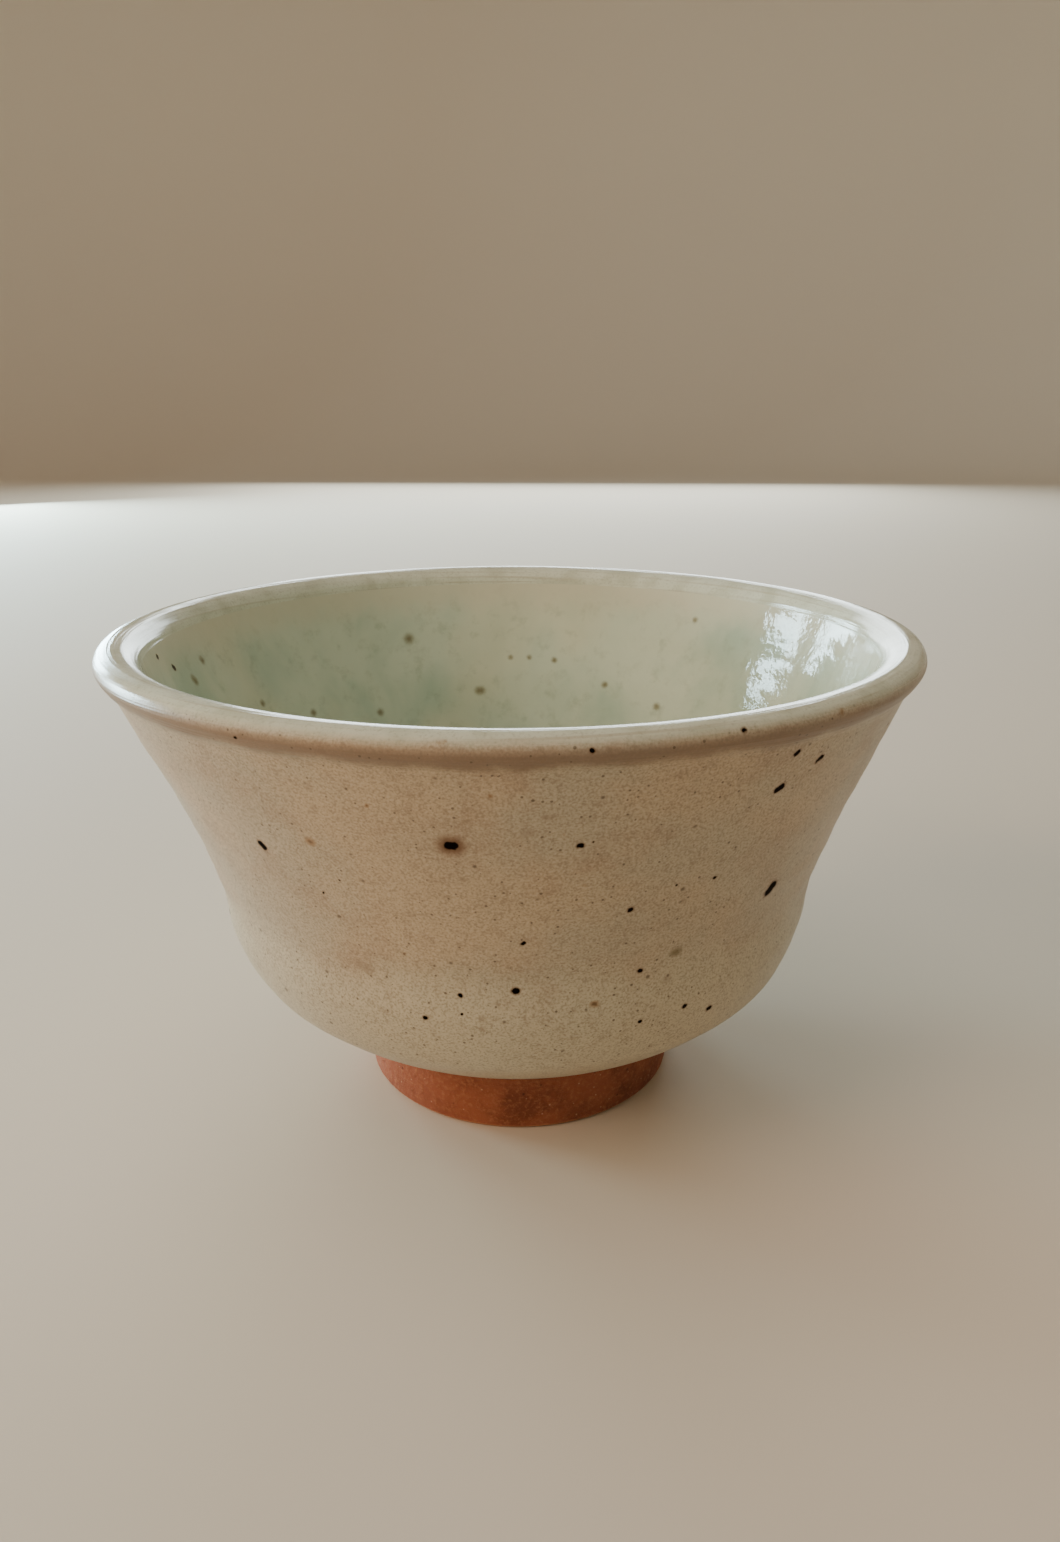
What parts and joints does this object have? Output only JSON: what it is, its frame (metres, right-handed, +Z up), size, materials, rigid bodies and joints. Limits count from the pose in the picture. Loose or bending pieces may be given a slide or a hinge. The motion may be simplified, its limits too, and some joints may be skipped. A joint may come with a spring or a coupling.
{
  "type": "matcha bowl",
  "caption": "Stoneware tea bowl with a flaring wall over a soft bend and round belly, a rolled lip, speckled cream glaze and a bare red clay foot ring.",
  "frame": {"origin": "on the surface the bowl stands on, under the middle of the bowl", "axes": "+Z up along the bowl's axis; -Y faces the viewer and +X is to the viewer's right, though the shape is round"},
  "size_m": [0.125, 0.125, 0.076],
  "materials": {
    "clay_body": "fired sandy red stoneware, matte",
    "foot_clay": "bare sandy terracotta clay, matte",
    "slip": "fired slip, matte",
    "inner_glaze": "glossy pale celadon glaze with green pools",
    "outer_glaze": "satin warm cream glaze with iron specks",
    "lip_glaze": "glossy grey-green glaze roll"
  },
  "bodies": {
    "root": {"clay_body": "clay_body", "foot_ring": "foot_clay", "luting_slip": "slip", "inner_glaze": "inner_glaze", "outer_glaze": "outer_glaze", "lip_glaze": "lip_glaze"}
  },
  "joints": []
}
